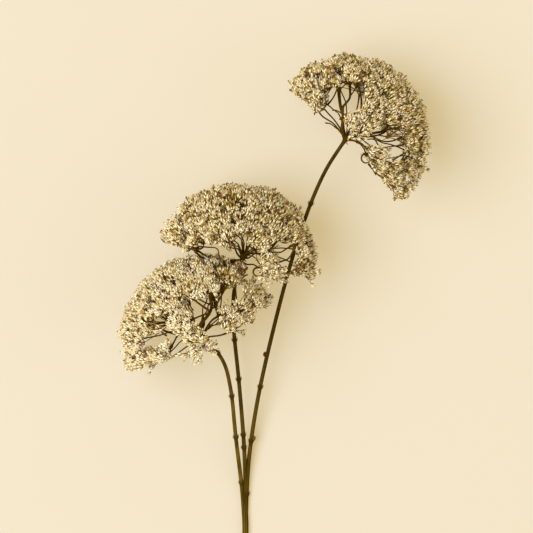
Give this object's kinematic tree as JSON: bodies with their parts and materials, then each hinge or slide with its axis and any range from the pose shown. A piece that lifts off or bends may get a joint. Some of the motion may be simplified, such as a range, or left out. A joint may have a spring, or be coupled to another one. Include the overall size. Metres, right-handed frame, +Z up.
{
  "type": "queen annes lace flower",
  "caption": "Dried Queen Anne's lace spray, cut and laid down: a slim forked stem whose branches each end in a domed umbel of tiny cream florets on thin arching brown rays.",
  "frame": {"origin": "on the flat spot under the main stem where it rests, 30 mm up from its cut end", "axes": "+Y up the main stem from the cut end to the umbels, +Z up from the surface that the spray lies on, +X to the side of the tallest branch"},
  "size_m": [0.2189, 0.3942, 0.1022],
  "materials": {
    "stem": "dry olive-brown stalk, finely ribbed, half matt",
    "rays": "dry dark brown, matt",
    "florets": "dry cream buds with olive and ochre tips, matt"
  },
  "bodies": {
    "root": {"stem": "stem", "rays_top": "rays", "rays_middle": "rays", "rays_low": "rays", "umbellet_top_01": "florets", "umbellet_top_02": "florets", "umbellet_top_03": "florets", "umbellet_top_04": "florets", "umbellet_top_05": "florets", "umbellet_top_06": "florets", "umbellet_top_07": "florets", "umbellet_top_08": "florets", "umbellet_top_09": "florets", "umbellet_top_10": "florets", "umbellet_top_11": "florets", "umbellet_top_12": "florets", "umbellet_top_13": "florets", "umbellet_middle_01": "florets", "umbellet_middle_02": "florets", "umbellet_middle_03": "florets", "umbellet_middle_04": "florets", "umbellet_middle_05": "florets", "umbellet_middle_06": "florets", "umbellet_middle_07": "florets", "umbellet_middle_08": "florets", "umbellet_middle_09": "florets", "umbellet_middle_10": "florets", "umbellet_middle_11": "florets", "umbellet_middle_12": "florets", "umbellet_middle_13": "florets", "umbellet_middle_14": "florets", "umbellet_middle_15": "florets", "umbellet_middle_16": "florets", "umbellet_low_01": "florets", "umbellet_low_02": "florets", "umbellet_low_03": "florets", "umbellet_low_04": "florets", "umbellet_low_05": "florets", "umbellet_low_06": "florets", "umbellet_low_07": "florets", "umbellet_low_08": "florets", "umbellet_low_09": "florets", "umbellet_low_10": "florets", "umbellet_low_12": "florets", "umbellet_low_13": "florets", "umbellet_low_14": "florets", "umbellet_low_15": "florets", "umbellet_low_16": "florets"}
  },
  "joints": []
}
